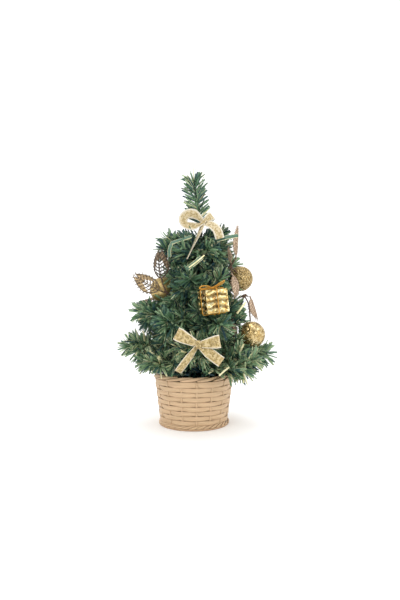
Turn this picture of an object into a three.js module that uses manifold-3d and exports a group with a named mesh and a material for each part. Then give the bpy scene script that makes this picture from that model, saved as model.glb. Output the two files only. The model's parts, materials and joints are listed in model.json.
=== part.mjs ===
// An artificial tabletop tree: bottle-brush branches wired to a trunk that stands in a woven chip-wood basket,
// dressed with ball-and-leaf picks, a foil gift and two ribbon bows.
// Millimetres, +Z up. The origin is the centre of the basket's flat underside, and -Y is the front.
import * as THREE from "three";
import { mergeVertices } from "three/addons/utils/BufferGeometryUtils.js";
import Module from "manifold-3d";

const wasm = await Module();
wasm.setup();

// ---------------------------------------------------------------- driving dimensions
const TREE_HEIGHT = 298;
const GAP = 0.4; // clearance between pieces that touch

// basket
const BASKET_HEIGHT = 58.4;
const WALL_FOOT_RADIUS = 38.2; // mid-thickness of the wall where it leaves the floor
const WALL_SLOPE = 0.112; // growth of the wall's radius for each millimetre of height
const STRIP_THICKNESS = 0.8;
const WEAVE_SWING = 1.4; // how far a weaver swings in and out past the stakes
const STAKES = 16;
const STAKE_WIDTH = 2.4;
const FIRST_STAKE = THREE.MathUtils.degToRad(4.7 - 90);
const ROWS = 9;
const ROW_BOTTOM = 5.4;
const ROW_PITCH = 5.25;
const ROW_GAP = 0.3;
const TOP_ROW_HEIGHT = 6.6;
const BRAID_RADIUS = 1.9;
const FOOT_BRAID_RING = 39.6;
const RIM_BRAID_RING = 45.7;
const FLOOR_RADIUS = 37.2;
const FLOOR_THICKNESS = 3.6;
const STAR_HEIGHT = 4.6; // mid-thickness of the stakes where they cross over the floor

// stand and trunk
const PLUG_BOTTOM = 5.4;
const PLUG_TOP = 49;
const TRUNK_RADIUS = 2.6;
const TRUNK_BOTTOM = 12;
const TRUNK_TOP = 228;
const TRUNK_LEAN = 8; // how far the trunk's top stands to the right of its foot
const LEAN_START = 50;

// needle brushes
const BRUSH_RADIUS = 5.5;
const BRUSH_WIRE_RADIUS = 1.1;
const BRUSH_SIDES = 8;

// ornaments
const BALL_RADIUS = 15;
const LEAF_LENGTH = 38;
const LEAF_WIDTH = 19;
const LEAF_THICKNESS = 1.2;
const PICK_WIRE_RADIUS = 0.8;
const GIFT_SIDE = 25;
const STRING_WIDTH = 1.6;
const STRING_THICKNESS = 0.8;
const RIBBON_WIDTH = 10;
const RIBBON_THICKNESS = 0.8;

// ---------------------------------------------------------------- materials
const finish = (color, roughness, metalness) =>
  new THREE.MeshStandardMaterial({ color, roughness, metalness });
const goldChip = finish(0xd9b98a, 0.55, 0.25);
const darkPlug = finish(0x1c2a24, 0.95, 0);
const trunkWrap = finish(0x24382c, 0.85, 0);
const greenNeedles = finish(0x2f5238, 0.7, 0);
const glitterGold = finish(0xc2a14e, 0.45, 0.8);
const mirrorGold = finish(0xd8bd6a, 0.2, 0.9);
const bronzeLeaf = finish(0xa98560, 0.6, 0.4);
const brownWire = finish(0x5a4632, 0.7, 0.3);
const giftFoil = finish(0xe5c765, 0.22, 0.95);
const orangeString = finish(0xd98c1e, 0.35, 0.6);
const goldRibbon = finish(0xdcc08a, 0.6, 0.2);

// ---------------------------------------------------------------- helpers
const part = new THREE.Group();
const radians = THREE.MathUtils.degToRad;
const up = new THREE.Vector3(0, 0, 1);
const at = (x, y, z) => new THREE.Vector3(x, y, z);

function place(name, geometry, material, position = at(0, 0, 0)) {
  const mesh = new THREE.Mesh(geometry, material);
  mesh.name = name;
  mesh.position.copy(position);
  part.add(mesh);
  return mesh;
}

// Moves every vertex of a geometry by a function of its position.
function reshape(geometry, move) {
  const points = geometry.getAttribute("position");
  const p = new THREE.Vector3();
  for (let i = 0; i < points.count; i++) {
    move(p.fromBufferAttribute(points, i));
    points.setXYZ(i, p.x, p.y, p.z);
  }
  return geometry;
}

// A lathe turned about +Z from [radius, height] pairs.
function turned(profile, segments) {
  const points = profile.map(([r, z]) => new THREE.Vector2(r, z));
  return new THREE.LatheGeometry(points, segments).rotateX(Math.PI / 2);
}

// A round wire along a smooth path, with twice as many sides as its quarter turns are cut into.
function wire(points, radius, halfSides, steps) {
  const section = new THREE.Shape();
  section.absarc(0, 0, radius, 0, 2 * Math.PI);
  return new THREE.ExtrudeGeometry(section, {
    extrudePath: new THREE.CatmullRomCurve3(points),
    steps,
    curveSegments: halfSides,
  });
}

function toSolid(geometry) {
  const bare = geometry.index ? geometry.toNonIndexed() : geometry.clone();
  bare.deleteAttribute("normal");
  bare.deleteAttribute("uv");
  const merged = mergeVertices(bare, 1e-3);
  return new wasm.Manifold(
    new wasm.Mesh({
      numProp: 3,
      vertProperties: new Float32Array(merged.attributes.position.array),
      triVerts: new Uint32Array(merged.index.array),
    }),
  );
}

function toGeometry(solid) {
  const mesh = solid.simplify(0.02).getMesh();
  return new THREE.BufferGeometry()
    .setAttribute("position", new THREE.BufferAttribute(mesh.vertProperties, 3))
    .setIndex(new THREE.BufferAttribute(mesh.triVerts, 1));
}

const joined = (geometries) =>
  toGeometry(geometries.map(toSolid).reduce((whole, next) => whole.add(next)));

const wallRadius = (z) => WALL_FOOT_RADIUS + WALL_SLOPE * (z - STAR_HEIGHT);
const trunkX = (z) =>
  TRUNK_LEAN * (Math.max(0, z - LEAN_START) / (TRUNK_TOP - LEAN_START)) ** 1.5;

// ---------------------------------------------------------------- basket
// One weaver: a flat ring that passes outside every second stake and inside the others.
function weaver(bottom, top, phase) {
  const half = STRIP_THICKNESS / 2;
  const ring = turned(
    [
      [wallRadius(bottom) - half, bottom],
      [wallRadius(bottom) + half, bottom],
      [wallRadius(top) + half, top],
      [wallRadius(top) - half, top],
      [wallRadius(bottom) - half, bottom],
    ],
    STAKES * 3,
  );
  return reshape(ring.rotateZ(FIRST_STAKE), (p) => {
    const angle = Math.atan2(p.y, p.x) - FIRST_STAKE;
    const swing = WEAVE_SWING * Math.cos((STAKES / 2) * angle + phase);
    const radius = Math.hypot(p.x, p.y);
    p.x *= (radius + swing) / radius;
    p.y *= (radius + swing) / radius;
  });
}

// A braided border: a ring whose tube swells and dips as its strands cross.
function braid(ringRadius, height) {
  const ring = new THREE.TorusGeometry(ringRadius, BRAID_RADIUS, 6, STAKES * 4);
  ring.scale(1, 1, 1 / Math.sin(Math.PI / 3)).translate(0, 0, height);
  return reshape(ring, (p) => {
    const radius = Math.hypot(p.x, p.y);
    const swell = 1 - 0.12 * (1 + Math.cos(STAKES * 2 * Math.atan2(p.y, p.x)));
    const tube = 1 + ((radius - ringRadius) * (swell - 1)) / radius;
    p.x *= tube;
    p.y *= tube;
  });
}

// All the stakes: flat strips that cross over the floor and turn up into the wall.
function stakeStar() {
  const half = STRIP_THICKNESS / 2;
  const wallTop = ROW_BOTTOM + (ROWS - 1) * ROW_PITCH + TOP_ROW_HEIGHT - GAP;
  const profile = new THREE.Shape();
  const outer = wallRadius(STAR_HEIGHT) + half;
  const top = wallRadius(wallTop);
  profile.moveTo(0, STAR_HEIGHT - half);
  profile.lineTo(outer, STAR_HEIGHT - half);
  profile.lineTo(top + half, wallTop);
  profile.lineTo(top - half, wallTop);
  profile.lineTo(outer - STRIP_THICKNESS, STAR_HEIGHT + half);
  profile.lineTo(0, STAR_HEIGHT + half);
  const stakes = [];
  for (let k = 0; k < STAKES; k++) {
    const stake = new THREE.ExtrudeGeometry(profile, { depth: STAKE_WIDTH, bevelEnabled: false });
    stake.translate(0, 0, -STAKE_WIDTH / 2).rotateX(Math.PI / 2);
    stakes.push(stake.rotateZ(FIRST_STAKE + (k * 2 * Math.PI) / STAKES));
  }
  return joined(stakes);
}

function buildBasket() {
  const floor = [
    [0, 0],
    [FLOOR_RADIUS, 0],
    [FLOOR_RADIUS, FLOOR_THICKNESS],
    [0, FLOOR_THICKNESS],
  ];
  place("basket_floor", turned(floor, 32), goldChip);
  place("basket_stakes", stakeStar(), goldChip);
  place("foot_braid", braid(FOOT_BRAID_RING, BRAID_RADIUS), goldChip);
  place("rim_braid", braid(RIM_BRAID_RING, BASKET_HEIGHT - BRAID_RADIUS), goldChip);
  for (let row = 0; row < ROWS; row++) {
    const bottom = ROW_BOTTOM + row * ROW_PITCH;
    const height = (row === ROWS - 1 ? TOP_ROW_HEIGHT : ROW_PITCH) - ROW_GAP;
    const name = `basket_weaver_${row + 1}`;
    place(name, weaver(bottom, bottom + height, (row + 1) * Math.PI), goldChip);
  }
}

// ---------------------------------------------------------------- stand and trunk
function buildTrunk() {
  const inside = (z) => wallRadius(z) - WEAVE_SWING - STRIP_THICKNESS / 2 - GAP;
  const hole = TRUNK_RADIUS + GAP;
  const plug = [
    [0, PLUG_BOTTOM],
    [inside(PLUG_BOTTOM), PLUG_BOTTOM],
    [inside(PLUG_TOP), PLUG_TOP],
    [hole, PLUG_TOP],
    [hole, TRUNK_BOTTOM - GAP],
    [0, TRUNK_BOTTOM - GAP],
  ];
  place("base_plug", turned(plug, 32), darkPlug);
  const path = [TRUNK_BOTTOM, LEAN_START, 95, 140, 185, TRUNK_TOP].map((z) =>
    at(trunkX(z), 0, z),
  );
  place("trunk", wire(path, TRUNK_RADIUS, 5, 16), trunkWrap);
}

// ---------------------------------------------------------------- branches
// A needle brush along +X: bare wire at its root, then a round body of needles that tapers to a blunt tip.
// The root keeps clear of the trunk at the branch's slope; droop is how far the tip hangs below a straight branch.
function brush(length, droop, slope) {
  const root = (TRUNK_RADIUS + GAP + BRUSH_WIRE_RADIUS * Math.sin(slope)) / Math.cos(slope);
  const profile = [
    [0, root],
    [BRUSH_WIRE_RADIUS * 0.6, root],
    [BRUSH_WIRE_RADIUS, root + 0.7],
    [BRUSH_WIRE_RADIUS, 0.12 * length + root],
    [BRUSH_RADIUS * 0.9, 0.4 * length],
    [BRUSH_RADIUS, 0.62 * length],
    [BRUSH_RADIUS * 0.9, 0.86 * length],
    [BRUSH_RADIUS * 0.45, length],
    [0, length],
  ];
  const body = turned(profile, BRUSH_SIDES).rotateY(Math.PI / 2);
  return reshape(body, (p) => {
    p.z -= droop * (p.x / length) ** 2;
  });
}

// [name, height of the root, azimuth from +X, elevation, length, droop], the tiers from the basket up
const BRANCHES = [
  ["lower_branch_left", 74, -176, 12, 88, 0],
  ["lower_branch_front_left", 73, -138, 2, 74, 2],
  ["lower_branch_front", 76, -88, 14, 72, 0],
  ["lower_branch_front_right", 74, -42, 6, 82, 18],
  ["lower_branch_right", 76, -8, 6, 94, 4],
  ["lower_branch_back_right", 74, 50, 8, 84, 3],
  ["lower_branch_back_left", 74, 117, 8, 84, 3],
  ["middle_branch_left", 110, 178, 18, 80, 1],
  ["middle_branch_front_left", 110, -124, 9, 68, 0],
  ["middle_branch_front_right", 108, -69, 12, 68, 0],
  ["middle_branch_right", 112, -12, 20, 62, 0],
  ["middle_branch_back_right", 110, 52, 16, 72, 2],
  ["middle_branch_back_left", 110, 116, 16, 72, 2],
  ["upper_branch_left", 150, -152, 34, 52, 0],
  ["upper_branch_front", 148, -100, 25, 56, 1],
  ["upper_branch_front_right", 148, -46, 28, 54, 1],
  ["upper_branch_right", 157, 24, 34, 66, 0],
  ["upper_branch_back", 148, 84, 25, 58, 1],
  ["upper_branch_back_left", 148, 146, 28, 58, 1],
  ["crown_branch_left", 187, 171, 38, 58, 0],
  ["crown_branch_front_left", 185, -124, 26, 44, 0],
  ["crown_branch_front", 187, -68, 28, 42, 0],
  ["crown_branch_right", 185, -16, 36, 50, 0],
  ["crown_branch_back", 185, 80, 35, 48, 0],
];
const TIP_ROOT = at(trunkX(TRUNK_TOP), 0, TRUNK_TOP);
const TIP_LEAN = 8; // degrees that the top tip leans to the left

function buildBranches() {
  for (const [name, height, azimuth, elevation, length, droop] of BRANCHES) {
    const shape = brush(length, droop, radians(elevation));
    const branch = place(name, shape, greenNeedles, at(trunkX(height), 0, height));
    branch.rotation.set(0, -radians(elevation), radians(azimuth), "ZYX");
  }
  const tip = place("top_tip", brush(TREE_HEIGHT - TRUNK_TOP, 0, 0), greenNeedles, TIP_ROOT);
  tip.rotation.y = -radians(90 + TIP_LEAN);
}

// ---------------------------------------------------------------- picks: a ball, its leaves and their wire
// A skeleton leaf along +X that faces +Z, arched along its length, with a short stalk at its root.
function leaf(length) {
  const outline = new THREE.Shape();
  const steps = 8;
  const half = (t) => 0.9 + (LEAF_WIDTH / 2 - 0.9) * Math.sin(Math.PI * t ** 0.85) ** 0.9;
  outline.moveTo(0, -0.9);
  for (let i = 0; i <= steps; i++) outline.lineTo(length * (0.12 + (0.88 * i) / steps), -half(i / steps));
  for (let i = steps; i >= 0; i--) outline.lineTo(length * (0.12 + (0.88 * i) / steps), half(i / steps));
  outline.lineTo(0, 0.9);
  const plate = new THREE.ExtrudeGeometry(outline, { depth: LEAF_THICKNESS, bevelEnabled: false });
  return reshape(plate.translate(0, 0, -LEAF_THICKNESS / 2), (p) => {
    p.z -= 4 * (p.x / length) * (p.x / length - 1) + 0.02 * p.y * p.y;
  });
}

// Sets a piece built along +X so that it runs from one point towards another, facing as near to a direction as it can.
function aim(mesh, from, to, facing) {
  const along = to.clone().sub(from).normalize();
  const side = facing.clone().cross(along).normalize();
  const face = along.clone().cross(side);
  mesh.quaternion.setFromRotationMatrix(new THREE.Matrix4().makeBasis(along, side, face));
  mesh.position.copy(from);
}

// Each pick: the root of its wire on the trunk, the cluster where its twigs part, the ball and the bend of the twig
// that holds it, and [leaf, base, tip, facing, bend of its twig if it isn't straight].
const PICKS = [
  {
    name: "left_pick",
    root: 133,
    cluster: at(-31, -21, 152),
    ball: at(-37, -4, 156),
    bend: at(-33, -18, 153),
    leaves: [
      ["upper", at(-36, -24, 163), at(-39, -25, 206), at(-0.35, -1, 0.1)],
      ["middle", at(-35, -26, 152), at(-71, -29, 173), at(-0.1, -1, 0.3)],
      ["lower", at(-40, 14, 148), at(-74, 17, 137), at(-0.1, -0.7, 1), at(-31, -9, 131)],
    ],
  },
  {
    name: "right_pick",
    root: 170,
    cluster: at(42, -13, 181),
    ball: at(56, 9, 170),
    bend: at(48, -8, 179),
    leaves: [
      ["upper", at(47, -20, 190), at(49, -24, 230), at(1, -0.25, 0.1)],
      ["small", at(43, -21, 186), at(40, -24, 202), at(-1, -0.5, 0)],
      ["lower", at(47, -20, 174), at(51, -24, 146), at(0.75, -1, 0)],
    ],
  },
  {
    name: "low_pick",
    root: 129,
    cluster: at(59, -8, 149),
    ball: at(66, -21, 104),
    bend: at(63, -17, 138),
    leaves: [
      ["outer", at(65, -6, 148), at(73, -8, 121), at(1, -0.9, 0.2)],
      ["inner", at(43, -30, 120), at(46, -33, 94), at(1, -0.5, 0)],
    ],
  },
];

// A twig from a cluster towards a piece, stopping a gap short of it.
function twig(cluster, bend, target, reach) {
  const end = target.clone().add(bend.clone().sub(target).setLength(reach + GAP));
  return wire([cluster, bend, end], PICK_WIRE_RADIUS * 0.8, 3, 3);
}

function buildPicks() {
  for (const { name, root, cluster, ball, bend, leaves } of PICKS) {
    const out = at(cluster.x, cluster.y, 0).normalize();
    const start = out.clone().multiplyScalar(TRUNK_RADIUS + GAP + PICK_WIRE_RADIUS);
    start.add(at(trunkX(root), 0, root));
    const middle = start.clone().lerp(cluster, 0.5).add(at(0, 0, -2));
    const wires = [
      wire([start, middle, cluster], PICK_WIRE_RADIUS, 3, 6),
      twig(cluster, bend, ball, BALL_RADIUS),
    ];
    for (const [which, base, tip, facing, side = cluster.clone().lerp(base, 0.5)] of leaves) {
      const length = Math.min(LEAF_LENGTH, base.distanceTo(tip));
      aim(place(`${name}_${which}_leaf`, leaf(length), bronzeLeaf), base, tip, facing);
      wires.push(twig(cluster, side, base, PICK_WIRE_RADIUS));
    }
    place(`${name}_wire`, joined(wires), brownWire);
    const ballMaterial = name === "low_pick" ? mirrorGold : glitterGold;
    place(`${name}_ball`, new THREE.SphereGeometry(BALL_RADIUS, 16, 10), ballMaterial, ball);
  }
}

// ---------------------------------------------------------------- gift
const GIFT_CENTRE = at(21, -60, 141);
const GIFT_YAW = 20;
const GIFT_ROLL = -7;
const GIFT_TIE = 1.6; // length of the tie between the string and the branch below it

function frameBand(side) {
  const outer = new THREE.BoxGeometry(side, STRING_WIDTH, side);
  const hole = new THREE.BoxGeometry(
    side - 2 * STRING_THICKNESS,
    STRING_WIDTH * 2,
    side - 2 * STRING_THICKNESS,
  );
  return toSolid(outer).subtract(toSolid(hole));
}

// The string: two bands crossed round the box, tied on top in two flat loops and below to the branch.
function giftString() {
  const side = GIFT_SIDE + 2 * (GAP + STRING_THICKNESS);
  const tie = new THREE.CylinderGeometry(STRING_THICKNESS, STRING_THICKNESS, GIFT_TIE, 6);
  tie.rotateX(Math.PI / 2).translate(0, 0, -(side + GIFT_TIE) / 2 + STRING_THICKNESS / 2);
  let string = frameBand(side).add(frameBand(side).rotate([0, 0, 90])).add(toSolid(tie));
  for (const way of [-1, 1]) {
    const loop = new THREE.TorusGeometry(5, STRING_THICKNESS, 5, 10);
    loop.scale(1, 0.45, 1).rotateX(Math.PI / 2).rotateY(way * radians(-14));
    string = string.add(toSolid(loop.translate(way * 5.4, 0, side / 2 + 2)));
  }
  return toGeometry(string);
}

function buildGift() {
  const gift = new THREE.Group();
  gift.position.copy(GIFT_CENTRE);
  gift.rotation.set(0, radians(GIFT_ROLL), radians(GIFT_YAW), "ZYX");
  const box = new THREE.BoxGeometry(GIFT_SIDE, GIFT_SIDE, GIFT_SIDE);
  const pieces = [
    ["gift_box", box, giftFoil],
    ["gift_string", giftString(), orangeString],
  ];
  for (const [name, geometry, material] of pieces) gift.add(place(name, geometry, material));
  part.add(gift);
}

// ---------------------------------------------------------------- bows
// A ribbon strip of one thickness along a flat path in X and Y, as wide as the ribbon in Z.
function ribbonStrip(points, width) {
  const path = new THREE.CatmullRomCurve3(points.map(([x, y]) => at(x, y, 0)));
  const rail = path.getPoints(8);
  const outline = new THREE.Shape();
  const edge = rail.map((p, i) => {
    const tangent = path.getTangent(i / 8);
    return [p, at(-tangent.y, tangent.x, 0).multiplyScalar(RIBBON_THICKNESS / 2)];
  });
  outline.setFromPoints([
    ...edge.map(([p, n]) => new THREE.Vector2(p.x + n.x, p.y + n.y)),
    ...edge.reverse().map(([p, n]) => new THREE.Vector2(p.x - n.x, p.y - n.y)),
  ]);
  const strip = new THREE.ExtrudeGeometry(outline, { depth: width, bevelEnabled: false });
  return strip.translate(0, 0, -width / 2);
}

// A bow that faces -Y: two loops and two tails from a knot at its origin.
// Each loop is [reach, fatness, tilt], each tail [length, tilt, how far forward it hangs], tilts in degrees from +X.
function bow(loops, tails) {
  const strips = [];
  for (const [reach, fatness, tilt] of loops) {
    const outline = [
      [0, 0.7],
      [0.45 * reach, fatness],
      [reach, 0],
      [0.45 * reach, -fatness],
      [0, -0.7],
    ];
    strips.push(ribbonStrip(outline, RIBBON_WIDTH).rotateY(-radians(tilt)));
  }
  for (const [length, tilt, forward] of tails) {
    const run = [
      [0, 0],
      [0.35 * length, -0.7 * forward],
      [length, -forward],
    ];
    strips.push(ribbonStrip(run, RIBBON_WIDTH * 0.8).rotateY(-radians(tilt)));
  }
  const pinch = (p) => {
    const near = Math.min(1, Math.hypot(p.x, p.z) / (RIBBON_WIDTH * 0.9));
    p.y *= 0.4 + 0.6 * near;
  };
  strips.forEach((strip) => reshape(strip, pinch));
  const heart = new THREE.BoxGeometry(7.5, 3, 7.5);
  return [...strips, heart].map(toSolid).reduce((whole, next) => whole.add(next));
}

// The knot is a band round the bow's gathered middle, with a tie that runs back to what the bow is fixed to.
function buildBow(name, knot, loops, tails, anchor) {
  const band = toSolid(new THREE.BoxGeometry(3, 5.4, 12)).subtract(
    toSolid(new THREE.BoxGeometry(6, 4, 10.8)),
  );
  const tieStart = at(0, 2.4, 0);
  const tieEnd = anchor.clone().sub(knot);
  const tiePath = [tieStart, tieStart.clone().lerp(tieEnd, 0.5), tieEnd];
  const space = toSolid(new THREE.BoxGeometry(3.8, 6.2, 13));
  const inner = toSolid(new THREE.BoxGeometry(6, 3.2, 10));
  const ribbon = bow(loops, tails).subtract(space.subtract(inner));
  place(`${name}_ribbon`, toGeometry(ribbon), goldRibbon, knot);
  const tied = band.add(toSolid(wire(tiePath, PICK_WIRE_RADIUS, 3, 2)));
  place(`${name}_knot`, toGeometry(tied), goldRibbon, knot);
}

// ---------------------------------------------------------------- the tree
buildBasket();
buildTrunk();
buildBranches();
buildPicks();
buildGift();
const LOWER_LOOPS = [
  [25, 5, 153],
  [22, 5, 8],
];
const LOWER_TAILS = [
  [32, -128, 2],
  [30, -40, 2],
];
buildBow("lower_bow", at(5.5, -79, 97), LOWER_LOOPS, LOWER_TAILS, at(3.2, -71.5, 94));
const TOP_LOOPS = [
  [27, 6, 158],
  [16, 4, 38],
];
const TOP_TAILS = [
  [46, -114, 16],
  [33, -38, 4],
];
buildBow("top_bow", at(11, -16, 233), TOP_LOOPS, TOP_TAILS, at(8, -3.8, 226));

export default part;
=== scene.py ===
"""A tabletop Christmas tree in a woven basket, with bows, a gift, baubles and skeleton leaves.

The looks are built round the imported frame. Lengths are millimetres until a mesh is made.
"""

import json
import math

import bmesh
import bpy
import numpy as np
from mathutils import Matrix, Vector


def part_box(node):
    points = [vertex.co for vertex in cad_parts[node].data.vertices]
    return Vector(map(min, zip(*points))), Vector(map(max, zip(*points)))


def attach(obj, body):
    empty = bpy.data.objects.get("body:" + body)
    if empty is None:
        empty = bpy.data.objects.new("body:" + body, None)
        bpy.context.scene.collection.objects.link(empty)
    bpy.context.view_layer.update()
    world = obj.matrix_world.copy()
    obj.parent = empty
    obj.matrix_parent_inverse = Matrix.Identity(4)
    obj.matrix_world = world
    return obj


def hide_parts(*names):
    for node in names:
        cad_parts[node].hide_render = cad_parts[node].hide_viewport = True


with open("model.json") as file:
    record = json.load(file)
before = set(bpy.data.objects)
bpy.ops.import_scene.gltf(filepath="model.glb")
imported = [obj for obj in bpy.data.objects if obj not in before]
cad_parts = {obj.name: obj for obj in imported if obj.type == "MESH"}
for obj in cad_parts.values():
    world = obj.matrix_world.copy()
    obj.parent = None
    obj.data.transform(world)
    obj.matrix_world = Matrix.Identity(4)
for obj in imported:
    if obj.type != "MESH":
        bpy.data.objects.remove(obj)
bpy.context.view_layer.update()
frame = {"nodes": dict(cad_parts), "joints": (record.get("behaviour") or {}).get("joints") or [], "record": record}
rng = np.random.default_rng(25)

MM = 0.001
TURN = 2 * math.pi
UP = np.array([0.0, 0.0, 1.0])
FRONT = np.array([0.0, -1.0, 0.0])


# ---------------------------------------------------------------- camera, light and floor
CAMERA_PLACE = (0.0071, -0.5, 0.13)  # metres
CAMERA_PITCH = 91.6  # degrees from straight down
WATCHED_HEIGHT = 0.14  # metres: the height that the softboxes look at
SOFTBOXES = (  # name, place in metres, side in metres, watts
    ("key", (-0.55, -0.95, 1.0), 0.6, 6),
    ("fill", (0.95, -0.7, 0.45), 0.7, 3),
    ("top", (0.1, 0.15, 1.3), 0.7, 4),
)
SURROUNDINGS = {"From Min": -0.9, "From Max": 0.1, "To Min": 0.75, "To Max": 1.3}


def add_object(name, data):
    thing = bpy.data.objects.new(name, data)
    bpy.context.scene.collection.objects.link(thing)
    return thing


def add_camera():
    camera = add_object("camera", bpy.data.cameras.new("camera"))
    camera.data.lens = 25.2
    camera.data.sensor_width = 36
    camera.data.clip_start = 0.01
    camera.location = CAMERA_PLACE
    camera.rotation_euler = (math.radians(CAMERA_PITCH), 0, 0)
    bpy.context.scene.camera = camera


def add_softbox(name, place, size, power):
    """A square light that looks at the middle of the tree."""
    lamp = bpy.data.lights.new(name, "AREA")
    lamp.size = size
    lamp.energy = power
    softbox = add_object(name, lamp)
    towards = np.array([0, 0, WATCHED_HEIGHT]) - place
    pitch = math.atan2(math.hypot(towards[0], towards[1]), -towards[2])
    softbox.location = place
    softbox.rotation_euler = (pitch, 0, math.atan2(towards[1], towards[0]) - math.pi / 2)


def add_studio():
    """White surroundings, darker in front of the tree, so that shiny pieces have something to show."""
    scene = bpy.context.scene
    scene.view_settings.view_transform = "Standard"
    world = bpy.data.worlds.new("studio")
    scene.world = world
    world.use_nodes = True
    nodes, links = world.node_tree.nodes, world.node_tree.links
    direction = nodes.new("ShaderNodeTexCoord")
    split = nodes.new("ShaderNodeSeparateXYZ")
    strength = nodes.new("ShaderNodeMapRange")
    for socket, value in SURROUNDINGS.items():
        strength.inputs[socket].default_value = value
    links.new(direction.outputs["Generated"], split.inputs[0])
    links.new(split.outputs["Y"], strength.inputs["Value"])
    links.new(strength.outputs[0], nodes["Background"].inputs["Strength"])
    nodes["Background"].inputs["Color"].default_value = (1, 1, 1, 1)
    for softbox in SOFTBOXES:
        add_softbox(*softbox)


def add_floor():
    bpy.ops.mesh.primitive_plane_add(size=6, location=(0, 0, 0))
    floor = bpy.context.object
    floor.name = "floor"
    floor.data.materials.append(mottled("pale_floor", 0.8, (0.95,) * 3, (0.98,) * 3, 0.01).material)


# ---------------------------------------------------------------- finishes
class Finish:
    """A material whose colour, gloss and grain come from nodes. Texture scales are per millimetre."""

    def __init__(self, name, roughness, metallic=0.0, **sockets):
        self.material = bpy.data.materials.new(name)
        self.material.use_nodes = True
        self.nodes = self.material.node_tree.nodes
        self.links = self.material.node_tree.links
        self.shader = self.nodes["Principled BSDF"]
        values = {"Roughness": roughness, "Metallic": metallic}
        values.update({key.replace("_", " "): value for key, value in sockets.items()})
        for socket, value in values.items():
            self.shader.inputs[socket].default_value = value
        self.space = self.scaled(self.nodes.new("ShaderNodeTexCoord").outputs["Object"], (1 / MM,) * 3)

    def feed(self, socket, value):
        """Links a socket to another one, or gives it a value."""
        if isinstance(value, bpy.types.NodeSocket):
            self.links.new(value, socket)
        else:
            socket.default_value = value

    def vector_maths(self, operation, source, *values):
        node = self.nodes.new("ShaderNodeVectorMath")
        node.operation = operation
        self.links.new(source, node.inputs[0])
        for socket, value in zip(node.inputs[1:], values):
            self.feed(socket, value)
        return node.outputs[0]

    def scaled(self, vector, scale):
        return self.vector_maths("MULTIPLY", vector, scale)

    def mark(self, name, output="Fac"):
        """What the mesh says at each point: shade, edge, or the grain vector."""
        node = self.nodes.new("ShaderNodeAttribute")
        node.attribute_name = name
        return node.outputs[output]

    def texture(self, kind, scale, vector=None, output="Fac", **settings):
        node = self.nodes.new(kind)
        node.inputs["Scale"].default_value = scale
        for socket, value in settings.items():
            node.inputs[socket].default_value = value
        self.links.new(vector or self.space, node.inputs["Vector"])
        return node.outputs[output]

    def noise(self, scale, detail=3, vector=None):
        return self.texture("ShaderNodeTexNoise", scale, vector, Detail=detail)

    def cells(self, scale, output="Color", vector=None):
        return self.texture("ShaderNodeTexVoronoi", scale, vector, output)

    def ramp(self, source, *stops):
        """Colours or greys along a factor, as (position, colour) stops."""
        node = self.nodes.new("ShaderNodeValToRGB")
        self.links.new(source, node.inputs["Fac"])
        elements = node.color_ramp.elements
        while len(elements) < len(stops):
            elements.new(0.5)
        for element, (position, colour) in zip(elements, stops):
            element.position = position
            grey = isinstance(colour, (int, float))
            element.color = (colour,) * 3 + (1,) if grey else (*colour, 1)
        return node.outputs["Color"]

    def blend(self, factor, first, second, mode="MIX"):
        node = self.nodes.new("ShaderNodeMix")
        node.data_type = "RGBA"
        node.blend_type = mode
        for number, value in ((0, factor), (6, first), (7, second)):
            self.feed(node.inputs[number], (*value, 1) if isinstance(value, tuple) else value)
        return node.outputs[2]

    def set(self, socket, source):
        self.links.new(source, self.shader.inputs[socket])

    def bump(self, source, height, strength=1.0):
        """Relief of a height in millimetres, on top of any that the finish already has."""
        node = self.nodes.new("ShaderNodeBump")
        node.inputs["Distance"].default_value = height * MM
        node.inputs["Strength"].default_value = strength
        self.links.new(source, node.inputs["Height"])
        for link in list(self.shader.inputs["Normal"].links):
            self.links.new(link.from_socket, node.inputs["Normal"])
        self.set("Normal", node.outputs["Normal"])

    def sparkle(self, scale, amount):
        """Tilts the surface cell by cell, as loose glitter does."""
        tilt = self.vector_maths("MULTIPLY_ADD", self.cells(scale), (2 * amount,) * 3, (-amount,) * 3)
        normal = self.nodes.new("ShaderNodeNewGeometry").outputs["Normal"]
        self.set("Normal", self.vector_maths("NORMALIZE", self.vector_maths("ADD", normal, tilt)))


def mottled(name, roughness, dark, light, patches, relief=None, height=0.0, metallic=0.0, detail=3):
    """A plain finish: two colours in soft patches, and a relief of a finer noise."""
    f = Finish(name, roughness, metallic)
    f.set("Base Color", f.ramp(f.noise(patches), (0.3, dark), (0.7, light)))
    if relief:
        f.bump(f.noise(relief, detail), height)
    return f


def needle_finish():
    """Green film with gold cut edges; some needles show a pale gold back."""
    f = Finish("needle_film", 0.42)
    green = f.ramp(
        f.mark("shade"),
        (0.0, (0.016, 0.054, 0.068)),
        (0.3, (0.044, 0.112, 0.090)),
        (0.6, (0.124, 0.234, 0.116)),
        (1.0, (0.290, 0.430, 0.240)),
    )
    patchy = f.blend(f.ramp(f.noise(0.5), (0.3, 0.7), (0.7, 1.15)), (0, 0, 0), green)
    gold = f.ramp(f.noise(0.16), (0.3, (0.60, 0.55, 0.24)), (0.7, (0.98, 0.93, 0.62)))
    f.set("Base Color", f.blend(f.ramp(f.mark("edge"), (0.80, 0), (0.88, 1)), patchy, gold))
    f.set("Roughness", f.ramp(f.noise(0.8), (0.3, 0.34), (0.7, 0.55)))
    f.bump(f.noise(2.5), 0.05, 0.6)
    return f.material


def wire_finish(name, dark, light, metallic=0.0):
    f = mottled(name, 0.55, dark, light, 0.7, 3.0, 0.08, metallic)
    f.set("Roughness", f.ramp(f.noise(1.5), (0.3, 0.4), (0.7, 0.7)))
    return f.material


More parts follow.
